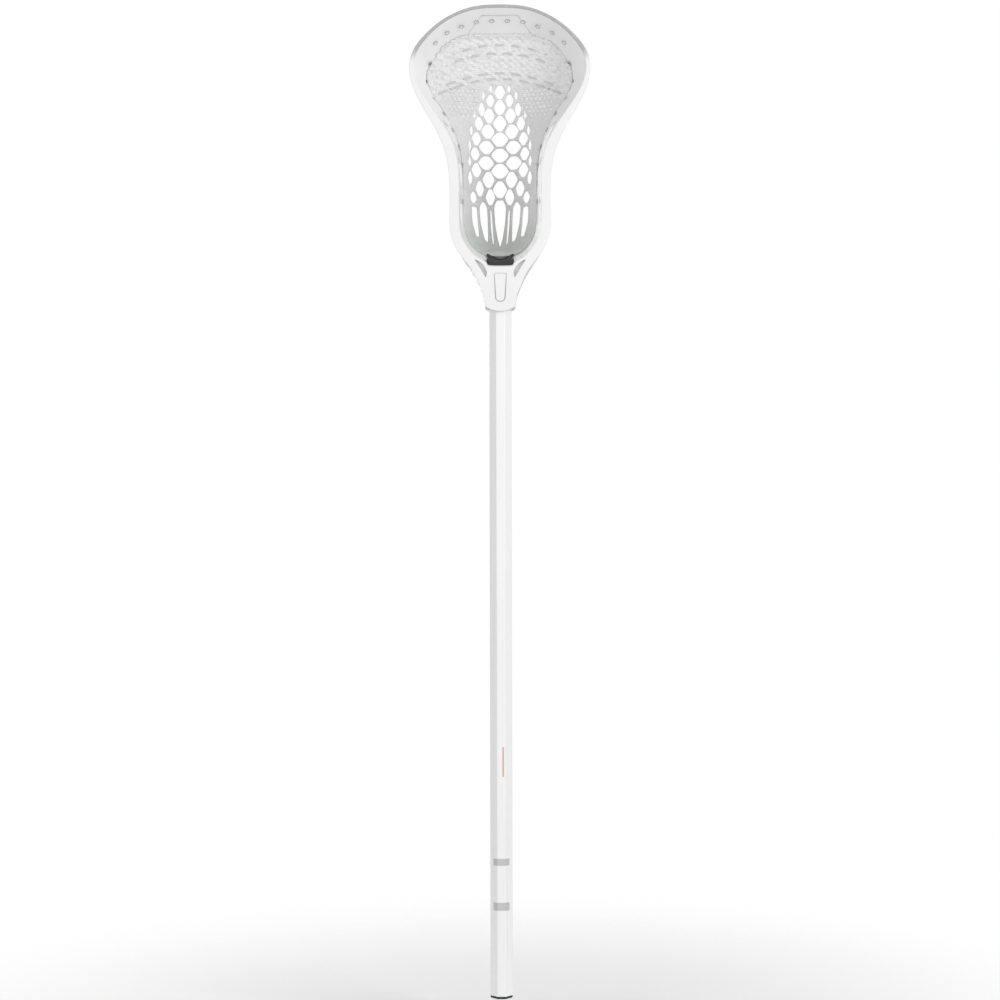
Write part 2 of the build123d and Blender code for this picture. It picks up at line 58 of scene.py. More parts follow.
class Graph:
    """A material and short names for the nodes that it is made of."""

    def __init__(self, name):
        self.material = bpy.data.materials.new(name)
        self.material.use_nodes = True
        self.tree = self.material.node_tree
        self.shader = self.tree.nodes["Principled BSDF"]
        coordinates = self.node("ShaderNodeTexCoord")
        self.place, self.facing = coordinates.outputs["Object"], coordinates.outputs["Normal"]
        split = self.node("ShaderNodeSeparateXYZ")
        self.link(self.place, split.inputs[0])
        self.x, self.y, self.z = split.outputs

    def node(self, kind):
        return self.tree.nodes.new(kind)

    def link(self, value, socket):
        if isinstance(value, bpy.types.NodeSocket):
            self.tree.links.new(value, socket)
        else:
            socket.default_value = value

    def math(self, operation, *values):
        made = self.node("ShaderNodeMath")
        made.operation = operation
        for value, socket in zip(values, made.inputs):
            self.link(value, socket)
        return made.outputs[0]

    def vector(self, operation, *values):
        made = self.node("ShaderNodeVectorMath")
        made.operation = operation
        for value, socket in zip(values, made.inputs):
            self.link(value, socket)
        return made.outputs["Value" if operation == "DOT_PRODUCT" else "Vector"]

    def cells(self, scale):
        """Distance from the middle of the nearest of many cells."""
        made = self.node("ShaderNodeTexVoronoi")
        self.link(self.place, made.inputs["Vector"])
        made.inputs["Scale"].default_value = scale
        return made.outputs["Distance"]

    def noise(self, scale, detail=2.0, stretch=(1.0, 1.0, 1.0)):
        mapping = self.node("ShaderNodeMapping")
        self.link(self.place, mapping.inputs["Vector"])
        mapping.inputs["Scale"].default_value = stretch
        made = self.node("ShaderNodeTexNoise")
        self.link(mapping.outputs[0], made.inputs["Vector"])
        made.inputs["Scale"].default_value = scale
        made.inputs["Detail"].default_value = detail
        return made.outputs["Fac"]

    def spread(self, value, low, high, to_low, to_high):
        """value from low to high turned into to_low to to_high, clamped and smooth."""
        made = self.node("ShaderNodeMapRange")
        made.interpolation_type = "SMOOTHSTEP"
        for socket, number in zip(made.inputs, (value, low, high, to_low, to_high)):
            self.link(number, socket)
        return made.outputs[0]

    def mix(self, share, first, second):
        made = self.node("ShaderNodeMix")
        made.data_type = "RGBA"
        self.link(share, made.inputs[0])
        self.link(first, made.inputs[6])
        self.link(second, made.inputs[7])
        return made.outputs[2]

    def set(self, name, value):
        self.link(value, self.shader.inputs[name])

    def bump(self, height, distance, strength=1.0, edge=0.0):
        """Relief of a height, in metres, on edges rounded by a radius."""
        made = self.node("ShaderNodeBump")
        if edge:
            soft = self.node("ShaderNodeBevel")
            soft.samples = 6
            soft.inputs["Radius"].default_value = edge
            self.link(soft.outputs[0], made.inputs["Normal"])
        made.inputs["Strength"].default_value = strength
        made.inputs["Distance"].default_value = distance
        self.link(height, made.inputs["Height"])
        self.set("Normal", made.outputs[0])


def grey(level, warm=0.0):
    return (level * (1 + warm), level, level * (1 - warm), 1.0)


def between(graph, value, low, high, soft):
    """1 where a value is from low to high, 0 elsewhere."""
    up = graph.spread(value, low - soft, low + soft, 0.0, 1.0)
    down = graph.spread(value, high - soft, high + soft, 1.0, 0.0)
    return graph.math("MULTIPLY", up, down)


# ---------------------------------------------------------------- materials
LACE_DROP, LACE_SPREAD = 13.5, 58.0  # mm that the laces are lower, that far from the middle
MIDDLE_Z = 870.0  # height of the middle of the head's opening, in mm

# Heights and places of the printed marks on the shaft, and of the sunk panel on the scoop, in metres.
BANDS = [(0.1365, 0.1436), (0.0905, 0.0987)]
STRIPE_Z, STRIPE_X = (0.2274, 0.2581), (0.0012, 0.0028)
MARKED_FRONT = -0.0095  # the marks are on what is in front of this
MARK_EDGE, STRIPE_EDGE = 0.0003, 0.0002
PANEL_LOW, PANEL_HIGH, PANEL_TOP_HALF, PANEL_FLARE = 0.9900, 1.0066, 0.0185, 0.93
PANEL_EDGE = 0.0008
LIP_Z, LIP_Y, LIP_RAKE = 0.975, -0.0110, -0.127  # the narrow lip is in front of this slanting line


def nylon():
    g = Graph("moulded_nylon")
    cloud = g.noise(24.0, 3.0)
    white = g.mix(cloud, grey(0.79, 0.004), grey(0.86, -0.002))
    # Painted shade: a dark line with a scuffed grain along the narrow lip of the scoop, which meets the
    # ground, where its rounded edge is in shade.
    lip = g.math("MULTIPLY_ADD", g.math("SUBTRACT", g.z, LIP_Z), LIP_RAKE, LIP_Y)
    lip_painted_shade = g.spread(g.math("SUBTRACT", g.y, lip), -0.0003, 0.0003, 1.0, 0.0)
    lip_painted_shade = g.math("MULTIPLY", lip_painted_shade, g.spread(g.z, 0.958, 0.974, 0.0, 0.9))
    # The lip's painted shade, dark grey with a scuffed grain.
    scuffs_and_painted_shade = g.mix(g.noise(500.0, 4.0), grey(0.26), grey(0.52))
    g.set("Base Color", g.mix(lip_painted_shade, white, scuffs_and_painted_shade))
    g.set("Roughness", g.spread(g.noise(60.0, 3.0), 0.3, 0.7, 0.34, 0.48))
    g.shader.inputs["Subsurface Weight"].default_value = 0.10
    g.shader.inputs["Subsurface Radius"].default_value = (0.004, 0.004, 0.004)
    g.shader.inputs["Subsurface Scale"].default_value = 1.0
    # A shallow sunk panel round the middle holes of the scoop.
    side = g.math("MULTIPLY_ADD", g.math("SUBTRACT", PANEL_HIGH, g.z), PANEL_FLARE, PANEL_TOP_HALF)
    past_side = g.math("SUBTRACT", g.math("ABSOLUTE", g.x), side)
    within = g.spread(past_side, -PANEL_EDGE, PANEL_EDGE, 1.0, 0.0)
    panel = g.math("MULTIPLY", within, between(g, g.z, PANEL_LOW, PANEL_HIGH, PANEL_EDGE))
    skin = g.math("ADD", g.noise(1500.0, 2.0), g.math("MULTIPLY", g.noise(160.0, 2.0), 1.4))
    relief = g.math("MULTIPLY_ADD", panel, -0.9, g.math("MULTIPLY", skin, 0.07))
    g.bump(relief, 0.001, 1.0, edge=0.0011)
    return g.material


def shaft_coating():
    g = Graph("coated_aluminium")
    cloud = g.noise(30.0, 4.0, (1.0, 1.0, 0.25))
    white = g.mix(cloud, grey(0.83), grey(0.88))
    wide_bands = g.math("ADD", *(between(g, g.z, low, high, MARK_EDGE) for low, high in BANDS))
    front = g.math("LESS_THAN", g.y, MARKED_FRONT)
    marked = g.math("MULTIPLY", wide_bands, front)
    tint = g.mix(g.math("MULTIPLY", marked, 0.8), white, grey(0.44))
    tall, wide = between(g, g.z, *STRIPE_Z, MARK_EDGE), between(g, g.x, *STRIPE_X, STRIPE_EDGE)
    stripe = g.math("MULTIPLY", g.math("MULTIPLY", tall, wide), front)
    g.set("Base Color", g.mix(g.math("MULTIPLY", stripe, 0.75), tint, (0.62, 0.22, 0.13, 1.0)))
    scuffs_and_painted_shade = g.noise(260.0, 4.0, (1.0, 1.0, 0.05))
    g.set("Roughness", g.spread(scuffs_and_painted_shade, 0.35, 0.75, 0.26, 0.42))
    g.shader.inputs["Coat Weight"].default_value = 0.25
    g.shader.inputs["Coat Roughness"].default_value = 0.18
    peel = g.math("ADD", g.noise(700.0, 2.0), g.math("MULTIPLY", scuffs_and_painted_shade, 0.5))
    g.bump(peel, 0.00006, 0.5, edge=0.0008)
    return g.material


def knit_height(g, wale, course):
    """Relief of plain knitting: V stitches in columns, counted out from the middle and round the sides."""
    out = g.math("MULTIPLY_ADD", g.y, -0.8, g.math("ABSOLUTE", g.x))
    across = g.math("FRACT", g.math("DIVIDE", out, wale))
    fold = g.math("ABSOLUTE", g.math("SUBTRACT", g.math("MULTIPLY", across, 2.0), 1.0))
    turn = g.math("ADD", g.math("DIVIDE", g.z, course), g.math("MULTIPLY", fold, 0.5))
    legs = g.math("COSINE", g.math("MULTIPLY", turn, 2 * math.pi))
    legs = g.math("MULTIPLY_ADD", legs, 0.5, 0.5)
    columns = g.math("ABSOLUTE", g.math("SINE", g.math("MULTIPLY", across, 2 * math.pi)))
    columns = g.math("POWER", columns, 0.5)
    return g.math("MULTIPLY", legs, columns)


def knitted(name, wale, course, depth, light, dark, pocket=False):
    g = Graph(name)
    relief = knit_height(g, wale, course)
    yarn = g.noise(900.0, 3.0)
    height = g.math("ADD", g.math("MULTIPLY", relief, 0.6), g.math("MULTIPLY", yarn, 0.3))
    if pocket:
        # Above the net the stitches stand in lumps, in rows that bow like the laces.
        bow = g.math("MULTIPLY_ADD", g.math("POWER", g.x, 2.0), LACE_DROP / LACE_SPREAD**2 / MM, g.z)
        along = g.math("SINE", g.math("MULTIPLY", g.x, 2 * math.pi / 0.0086))
        up = g.math("SINE", g.math("MULTIPLY", bow, 2 * math.pi / 0.0056))
        lumps = g.math("MULTIPLY_ADD", g.math("MULTIPLY", along, up), 0.5, 0.5)
        loops = g.math("MULTIPLY_ADD", g.cells(230.0), -1.5, 1.2)
        lumps = g.math("ADD", g.math("MULTIPLY", lumps, 0.6), loops)
        height = g.math("ADD", height, g.math("MULTIPLY", lumps, g.spread(bow, 0.938, 0.958, 0.35, 1.3)))
    # Painted shade: the colour is darker where the relief is low, in the pits between stitches, along with
    # random yarn tone.
    painted_pit_shade = g.spread(height, 0.2, 1.6 if pocket else 0.9, 0.0, 1.0)
    colour = g.mix(painted_pit_shade, grey(dark), grey(light))
    if pocket:
        low = g.math("MULTIPLY", g.spread(g.z, 0.768, 0.826, 1.0, 0.0), 0.85)
        colour = g.mix(low, colour, (0.66, 0.70, 0.66, 1.0))
    g.set("Base Color", colour)
    g.set("Roughness", g.spread(yarn, 0.3, 0.7, 0.72, 0.92))
    g.shader.inputs["Sheen Weight"].default_value = 0.25
    g.shader.inputs["Sheen Roughness"].default_value = 0.5
    g.bump(height, depth, 1.0)
    return g.material


def woven_lace():
    g = Graph("woven_lace")
    diagonal = g.math("MULTIPLY", g.math("ADD", g.x, g.z), 2 * math.pi / 0.0011)
    other = g.math("MULTIPLY", g.math("SUBTRACT", g.x, g.z), 2 * math.pi / 0.0011)
    weave = g.math("MULTIPLY", g.math("SINE", diagonal), g.math("SINE", other))
    height = g.math("ADD", weave, g.math("MULTIPLY", g.noise(1200.0, 2.0), 0.6))
    g.set("Base Color", g.mix(g.spread(height, -0.6, 1.2, 0.0, 1.0), grey(0.64), grey(0.82)))
    g.set("Roughness", g.spread(g.noise(500.0), 0.3, 0.7, 0.6, 0.8))
    g.bump(height, 0.00018, 0.9)
    return g.material


def foam():
    g = Graph("black_foam")
    grain = g.math("ADD", g.cells(1100.0), g.noise(300.0, 3.0))
    g.set("Base Color", g.mix(g.spread(grain, 0.4, 1.3, 0.0, 1.0), grey(0.012), grey(0.040)))
    g.set("Roughness", g.spread(grain, 0.4, 1.4, 0.6, 0.9))
    g.bump(grain, 0.00015, 0.8)
    return g.material


def gloss_plastic():
    g = Graph("gloss_black")
    g.set("Base Color", g.mix(g.noise(80.0), grey(0.004), grey(0.009)))
    g.set("Roughness", g.spread(g.noise(420.0, 4.0, (1.0, 0.2, 1.0)), 0.3, 0.8, 0.08, 0.24))
    g.bump(g.noise(900.0, 2.0), 0.00003, 0.4, edge=0.0004)
    return g.material


def rubber():
    g = Graph("cap_rubber")
    grain = g.noise(900.0, 3.0)
    g.set("Base Color", g.mix(grain, grey(0.008), grey(0.028)))
    g.set("Roughness", g.spread(g.noise(200.0, 3.0), 0.3, 0.7, 0.5, 0.72))
    g.bump(grain, 0.0001, 0.7, edge=0.0006)
    return g.material


def painted_metal(name, painted_bore_light=False):
    g = Graph(name)
    wear = g.spread(g.noise(700.0, 4.0), 0.55, 0.7, 0.0, 1.0)
    metal = g.mix(wear, grey(0.50), grey(0.32))
    if painted_bore_light:
        # Painted light: the bores' walls, which lie along the scoop's normal, are painted white as if lit
        # through the holes.
        from_middle = g.vector("SUBTRACT", g.place, (0.0, 0.0, MIDDLE_Z * MM))
        flat = g.vector("MULTIPLY", from_middle, (1.0, 0.0, 1.0))
        outward = g.vector("MULTIPLY", g.vector("NORMALIZE", flat), (0.78, 0.78, 0.78))
        axis = g.vector("ADD", outward, (0.0, 0.62, 0.0))
        facing = g.math("ABSOLUTE", g.vector("DOT_PRODUCT", g.facing, axis))
        metal = g.mix(g.spread(facing, 0.5, 0.7, 1.0, 0.0), metal, grey(0.97))
    g.set("Base Color", metal)
    g.set("Metallic", g.math("MULTIPLY", wear, 0.4))
    g.set("Roughness", g.spread(g.noise(400.0), 0.3, 0.7, 0.28, 0.45))
    g.bump(g.noise(1500.0), 0.00004, 0.5)
    return g.material


def steel():
    g = Graph("screw_steel")
    turned = g.noise(600.0, 3.0)
    g.set("Base Color", g.mix(turned, grey(0.50), grey(0.66)))
    g.shader.inputs["Metallic"].default_value = 1.0
    g.set("Roughness", g.spread(turned, 0.3, 0.7, 0.22, 0.42))
    g.bump(turned, 0.00004, 0.5)
    return g.material


LOOKS = {
    "shaft": shaft_coating(),
    "head_frame": nylon(),
    "end_cap": rubber(),
    "head_screw": steel(),
    "ball_stop_badge": gloss_plastic(),
}
# The scoop's eyelets get painted light in their bores.
LOOKS["scoop_eyelets"] = painted_metal("scoop_eyelet_metal", painted_bore_light=True)
LOOKS["left_rail_eyelets"] = LOOKS["right_rail_eyelets"] = painted_metal("rail_eyelet_metal")
KNIT = knitted("pocket_knit", 0.0022, 0.0018, 0.0009, 1.0, 0.86, pocket=True)
TAPE = knitted("hem_knit", 0.0017, 0.0014, 0.0005, 0.94, 0.78)
LACE = woven_lace()

for node, look in LOOKS.items():
    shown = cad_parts[node]
    for carried in shown.material_slots:
        carried.material = look


# ---------------------------------------------------------------- soft pieces
def smooth(piece):
    for face in piece.data.polygons:
        face.use_smooth = True


def new_piece(name, mesh, look, slot, *nodes):
    piece = bpy.data.objects.new(name, mesh)
    scene.collection.objects.link(piece)
    piece.data.materials.clear()
    piece.data.materials.append(look)
    smooth(piece)
    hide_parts(*nodes)
    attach(piece, "stick")
    return piece


def apply(piece, kind, **settings):
    """Adds a modifier of that kind and makes its result the piece's mesh."""
    made = piece.modifiers.new(kind.lower(), kind)
    for name, value in settings.items():
        setattr(made, name, value)
    bpy.context.view_layer.update()
    result = bpy.data.meshes.new_from_object(piece.evaluated_get(bpy.context.evaluated_depsgraph_get()))
    piece.modifiers.clear()
    piece.data = result


# The pocket's face as sections from the scoop down, in mm: z, half width, y of its edge, y of its middle.
POCKET = [
    (994.0, 36.0, 10.6, 10.8),
    (978.0, 58.5, 14.4, 19.0),
    (962.0, 71.5, 19.2, 29.0),
    (940.0, 75.5, 24.4, 41.0),
    (915.0, 60.5, 29.0, 52.0),
    (885.0, 45.0, 32.6, 60.5),
    (855.0, 41.4, 33.4, 65.5),
    (820.0, 40.8, 31.6, 66.5),
    (790.0, 37.6, 27.2, 58.5),
    (772.0, 28.0, 23.4, 42.0),
    (762.0, 17.5, 21.6, 27.0),
]
BELLY_POWER = 2.26


def section_at(z):
    """Half width, edge y and middle y of the pocket at a height, smooth between the sections."""
    rows = POCKET
    if z >= rows[0][0]:
        return rows[0][1:]
    if z <= rows[-1][0]:
        return rows[-1][1:]
    at = next(i for i in range(len(rows) - 1) if rows[i + 1][0] <= z)
    a, b = rows[at], rows[at + 1]
    before, after = rows[max(at - 1, 0)], rows[min(at + 2, len(rows) - 1)]
    span = b[0] - a[0]
    t = (z - a[0]) / span
    found = []
    for k in (1, 2, 3):
        start = (b[k] - before[k]) / (b[0] - before[0]) * span
        end = (after[k] - a[k]) / (after[0] - a[0]) * span
        found.append(
            (2 * t**3 - 3 * t**2 + 1) * a[k]
            + (t**3 - 2 * t**2 + t) * start
            + (3 * t**2 - 2 * t**3) * b[k]
            + (t**3 - t**2) * end
        )
    return found


def face_y(x, z):
    """Y of the pocket's face in mm."""
    half_width, edge, middle = section_at(z)
    share = min(abs(x) / half_width, 1.15)
    return middle - (middle - edge) * share**BELLY_POWER


class Probe:
    """Looks at a CAD node from the front, in mm."""

    def __init__(self, name):
        self.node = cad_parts[name]
        self.tree = BVHTree.FromObject(self.node, bpy.context.evaluated_depsgraph_get())
        self.into = self.node.matrix_world.inverted()

    def reach(self, angle, y, start):
        """Distance of a wall from the middle, at a depth Y and at an angle seen from the front, or None."""
        way = Vector((math.cos(angle), 0.0, math.sin(angle)))
        origin = (Vector((0.0, y, MIDDLE_Z)) + way * start) * MM
        found = self.tree.ray_cast(self.into @ origin, self.into.to_3x3() @ way, 0.03)[0]
        return None if found is None else start + (self.node.matrix_world @ found - origin).length / MM

    def depth(self, x, z):
        """Y of the first surface behind a point, or None."""
        start = self.into @ (Vector((x, -100.0, z)) * MM)
        found = self.tree.ray_cast(start, self.into.to_3x3() @ Vector((0, 1, 0)))[0]
        return None if found is None else (self.node.matrix_world @ found).y / MM


LAP_TOP = 2.2  # how far the knit laps over the inside of the scoop, seen from the front, in mm
LAP_GAP = 1.0  # between the knit and the walls
KNIT_THICK = 1.2
LOOP, LOOP_HEIGHT = 5.0, 0.6  # length and height of one loop of its upper edge
SELVEDGE = 6.0  # how far it goes up the inside of the walls from their back edge
HEEL_END = 16.5  # y where it ends on the heel


def lap_share(angle):
    """1 where the knit laps over the scoop, 0 along the sidewalls and the heel."""
    return min(1.0, max(0.0, (math.sin(angle) - 0.55) / 0.25))


def knit_outline():
    """Outline of the knit seen from the front, in mm, counted round from its middle."""
    pocket = Probe("knit_pocket")

    def hit(angle, radius):
        return pocket.depth(radius * math.cos(angle), MIDDLE_Z + radius * math.sin(angle)) is not None

    outline = []
    steps = 600
    for i in range(steps):
        angle = 2 * math.pi * (i + 0.5) / steps
        radius = 140.0
        while not hit(angle, radius):
            radius -= 1.0
        low, high = radius, radius + 1.0
        for _ in range(6):
            half = (low + high) / 2
            low, high = (half, high) if hit(angle, half) else (low, half)
        loops = LOOP_HEIGHT * math.sin(2 * math.pi * low * math.cos(angle) / LOOP)
        reach = low + lap_share(angle) * (LAP_TOP + loops)
        outline.append((reach * math.cos(angle), MIDDLE_Z + reach * math.sin(angle)))
    return outline


# Cells of the net in mm, by column from the middle: distance from it, height, width and length.
CELLS = [
    [(0, 938.3, 11.5, 12.4), (0, 923.6, 12.8, 14.0), (0, 907.6, 14.8, 14.4), (0, 891.6, 18.6, 13.6),
     (0, 875.4, 19.6, 13.4), (0, 859.1, 19.6, 14.6), (0, 839.8, 15.6, 17.0)],
    [(9.6, 941.6, 3.2, 6.0), (10.1, 930.3, 8.6, 11.0), (11.3, 915.4, 11.6, 14.0),
     (12.8, 899.5, 14.8, 13.8), (14.3, 883.4, 17.0, 13.0), (14.8, 867.2, 17.4, 13.2),
     (12.3, 849.8, 13.2, 16.0), (10.4, 831.4, 10.2, 16.0)],
    [(17.2, 935.0, 2.8, 7.0), (19.2, 921.6, 6.6, 12.0), (22.2, 907.2, 9.2, 12.8), (25.0, 891.4, 9.6, 13.0),
     (26.4, 875.6, 9.6, 12.6), (25.0, 858.8, 10.4, 14.2), (21.6, 839.6, 9.0, 15.2)],
    [(26.6, 914.8, 1.8, 6.0), (30.2, 899.6, 3.0, 9.0), (31.8, 883.6, 3.0, 10.0),
     (31.9, 867.2, 3.2, 10.0), (31.4, 849.6, 4.6, 13.0), (28.2, 829.6, 6.8, 11.6)],
]
# Long openings between the runners at the bottom: the outline of each, right of the middle.
SLOTS = [
    [(0.0, 828.6), (3.4, 828.6), (6.8, 821.4), (5.4, 802.0), (2.8, 786.0), (0.0, 774.5)],
    [(10.8, 819.0), (10.2, 800.0), (8.0, 780.0), (6.4, 779.0), (7.9, 800.0), (8.9, 817.0)],
    [(18.2, 827.4), (22.4, 820.6), (20.9, 802.0), (16.4, 784.0), (12.6, 781.0), (12.9, 800.0), (13.7, 820.6)],
    [(24.4, 820.0), (30.6, 820.0), (29.6, 802.0), (25.4, 787.0), (21.6, 787.0), (23.3, 803.0)],
]
# The patches of small holes beside the net's upper end, every other row moved by half a pitch.
PIN_START, PIN_TOP, PIN_PITCH, PIN_ROW, PIN_COUNT = 24.0, 940.0, 4.6, 4.2, 7
PIN_HALF_WIDTH, PIN_HALF_LENGTH = 1.3, 1.25
PIN_MARGIN = 9.0  # from the edge of the pocket
PIN_HOLES = [
    (PIN_START + PIN_PITCH * (i + (j % 2) / 2), PIN_TOP - PIN_ROW * j)
    for i in range(PIN_COUNT)
    for j in range(PIN_COUNT)
]
CELL_GROWTH = 0.6
CELL_BAR = 0.34  # half length of a cell's level sides, as a share of its half width
CORNER_CUTS = (0.13, 0.3)
RIM_STEP = 1.1  # length of the short runs along an opening's rim


def cell_outlines():
    """Every opening of the net as a closed outline in mm, both sides."""
    outlines = []
    for x, z, width, length in [cell for column in CELLS for cell in column]:
        half_width, half_length = width / 2 + CELL_GROWTH, length / 2 + CELL_GROWTH
        bar = CELL_BAR * half_width
        for side in (-1, 1) if x else (1,):
            corners = [(half_width, 0), (bar, half_length), (-bar, half_length)]
            corners += [(-half_width, 0), (-bar, -half_length), (bar, -half_length)]
            outlines.append([(side * x + dx, z + dz) for dx, dz in corners])
    middle = SLOTS[0] + [(-x, z) for x, z in reversed(SLOTS[0][1:-1])]
    outlines.append(middle)
    for slot in SLOTS[1:]:
        outlines.append(slot)
        outlines.append([(-x, z) for x, z in slot])
    for x, z in PIN_HOLES:
        if x > section_at(z)[0] - PIN_MARGIN:
            continue
        for side in (-1, 1):
            corners = [(PIN_HALF_WIDTH, 0), (0, PIN_HALF_LENGTH), (-PIN_HALF_WIDTH, 0), (0, -PIN_HALF_LENGTH)]
            outlines.append([(side * x + dx, z + dz) for dx, dz in corners])
    return outlines


def rounded(outline):
    """A closed outline with its corners cut twice, divided into short runs."""
    points = [Vector(p) for p in outline]
    for share in CORNER_CUTS:
        cut_points = []
        for a, b in zip(points, points[1:] + points[:1]):
            cut_points += [a.lerp(b, share), a.lerp(b, 1 - share)]
        points = cut_points
    fine = []
    for a, b in zip(points, points[1:] + points[:1]):
        runs = max(1, round((b - a).length / RIM_STEP))
        fine += [a.lerp(b, k / runs) for k in range(runs)]
    return fine


def inside(point, outline):
    """Whether a point is inside a closed outline."""
    x, z = point
    odd = False
    for (ax, az), (bx, bz) in zip(outline, outline[1:] + outline[:1]):
        if (az > z) != (bz > z) and x < (bx - ax) * (z - az) / (bz - az) + ax:
            odd = not odd
    return odd


GRID = 1.25  # pitch of the sheet's points, in staggered rows
EDGE_CLEAR, RIM_CLEAR = 0.8, 0.6  # what such a point keeps from the outline and from an opening
STRAND_LIFT, STRAND_REACH = 0.45, 1.3  # how far back the rims of the openings curl, and over what width
LOOPS_ABOVE, LOOPS_REACH, LOOPS_DEPTH = 940, 7.0, 0.55  # the loops that stand along the upper edge
FOLD_REACH, FOLD_ROUNDS = 3.5, 5  # the width that the fold at the edge is smoothed over
TURNED = 7  # points across the turned edge


def knit_sheet():
    """The pocket's mesh: a curved sheet with real openings, rounded strands and an upper edge in loops."""
    outer = knit_outline()
    openings = [rounded(o) for o in cell_outlines()]
    boxes = []
    for o in openings:
        across, along = [p.x for p in o], [p.y for p in o]
        rim = list(zip(across, along))
        boxes.append((min(across) - 2, max(across) + 2, min(along) - 2, max(along) + 2, rim))
    rims = KDTree(sum(len(o) for o in openings))
    number = 0
    for o in openings:
        for p in o:
            rims.insert((p.x, p.y, 0), number)
            number += 1
    rims.balance()
    edge = KDTree(len(outer))
    for number, p in enumerate(outer):
        edge.insert((p[0], p[1], 0), number)
    edge.balance()

    def in_opening(x, z):
        return any(a < x < b and c < z < d and inside((x, z), o) for a, b, c, d, o in boxes)

    points = [Vector(p) for p in outer]
    links = [(i, (i + 1) % len(outer)) for i in range(len(outer))]
    for o in openings:
        first = len(points)
        points += o
        links += [(first + i, first + (i + 1) % len(o)) for i in range(len(o))]
    row, z = 0, 765.0
    while z < 1000.0:
        x = -80.0 + (GRID / 2 if row % 2 else 0.0)
        while x < 80.0:
            if inside((x, z), outer):
                away = edge.find((x, z, 0))[2]
                free = rims.find((x, z, 0))[2]
                if away > EDGE_CLEAR and free > RIM_CLEAR and not in_opening(x, z):
                    points.append(Vector((x, z)))
            x += GRID
        z += GRID * 0.87
        row += 1
    made, _, faces, _, _, _ = delaunay_2d_cdt(points, links, [], 1, 1e-5)
    head = Probe("head_frame")
    mesh = bpy.data.meshes.new("knit_pocket_cloth")
    vertices = []
    for p in made:
        x, z = p
        free = rims.find((x, z, 0))[2]
        away = edge.find((x, z, 0))[2]
        y = face_y(x, z) + STRAND_LIFT * max(0.0, 1 - free / STRAND_REACH) ** 2
        if away < LAP_TOP + 4:
            wall = head.depth(x, z)
            if wall is not None:
                y = min(y, wall - LAP_GAP - KNIT_THICK / 2)
        if z > LOOPS_ABOVE:
            loops = max(0.0, 1 - away / LOOPS_REACH)
            wave = math.sin(x * 2 * math.pi / 5.2) * math.cos(z * 2 * math.pi / 6.0)
            y -= LOOPS_DEPTH * loops * (0.5 + 0.5 * wave)
        vertices.append((x * MM, (y + KNIT_THICK / 2) * MM, z * MM))
    kept = []
    for face in faces:
        cx = sum(made[i][0] for i in face) / len(face)
        cz = sum(made[i][1] for i in face) / len(face)
        if inside((cx, cz), outer) and not in_opening(cx, cz):
            a, b, c = (made[i] for i in face[:3])
            kept.append(face if (b - a).cross(c - a) > 0 else face[::-1])
    # Its edge turns forward and lies against the inside of the walls and on the heel.
    rings = []
    for x, z in outer:
        angle, low = math.atan2(z - MIDDLE_Z, x), math.hypot(x, z - MIDDLE_Z)
        y = face_y(x, z)
        wall = head.depth(x, z)
        if wall is not None:
            y = min(y, wall - LAP_GAP - KNIT_THICK / 2)
        ends = [k for k in range(1, 30) if head.reach(angle, y - k, low - 14) is not None]
        back = y - ends[0] if ends else y
        heel = min(1.0, max(0.0, (-math.sin(angle) - 0.9) / 0.06))
        end = (back - SELVEDGE) * (1 - heel) + min(HEEL_END, back) * heel
        length = (y - end) * (1 - lap_share(angle))
        ring = []
        for k in range(TURNED):
            forward = y - length * k / (TURNED - 1)
            wall = head.reach(angle, forward, low - 14)
            out = low if wall is None else max(low - 8, min(wall - LAP_GAP, low + 16))
            out = low + (out - low) * min(1.0, 2.0 * k / (TURNED - 1)) * (1 - lap_share(angle))
            place = (out * math.cos(angle), forward + KNIT_THICK / 2, MIDDLE_Z + out * math.sin(angle))
            ring.append(len(vertices))
            vertices.append(tuple(value * MM for value in place))
        rings.append(ring)
    # The first outline runs counterclockwise seen from the front, and so do the faces inside it.
    for a, b in zip(rings, rings[1:] + rings[:1]):
        for k in range(TURNED - 1):
            kept.append((a[k], a[k + 1], b[k + 1], b[k]))
    mesh.from_pydata(vertices, [], kept)
    mesh.update()
    joined = bmesh.new()
    joined.from_mesh(mesh)
    bmesh.ops.remove_doubles(joined, verts=joined.verts, dist=0.05 * MM)
    bmesh.ops.dissolve_degenerate(joined, edges=joined.edges, dist=0.01 * MM)
    fold = []
    for v in joined.verts:
        if not v.is_boundary and edge.find((v.co.x / MM, v.co.z / MM, 0))[2] < FOLD_REACH:
            fold.append(v)
    axes = {"use_axis_x": True, "use_axis_y": True, "use_axis_z": True}
    for _ in range(FOLD_ROUNDS):
        bmesh.ops.smooth_vert(joined, verts=fold, factor=0.5, **axes)
    joined.to_mesh(mesh)
    joined.free()
    return mesh


knit = new_piece("knit_pocket_cloth", knit_sheet(), KNIT, "pocket_knit", "knit_pocket")
apply(knit, "SOLIDIFY", thickness=KNIT_THICK * MM, offset=0.0, use_even_offset=False)

# ---------------------------------------------------------------- hem
hem_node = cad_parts["pocket_hem"]
hem = new_piece("pocket_hem_cloth", hem_node.data.copy(), TAPE, "hem_tape", "pocket_hem")
hem.matrix_world = hem_node.matrix_world
apply(hem, "REMESH", mode="VOXEL", voxel_size=0.6 * MM)
apply(hem, "SMOOTH", factor=0.5, iterations=3)
smooth(hem)

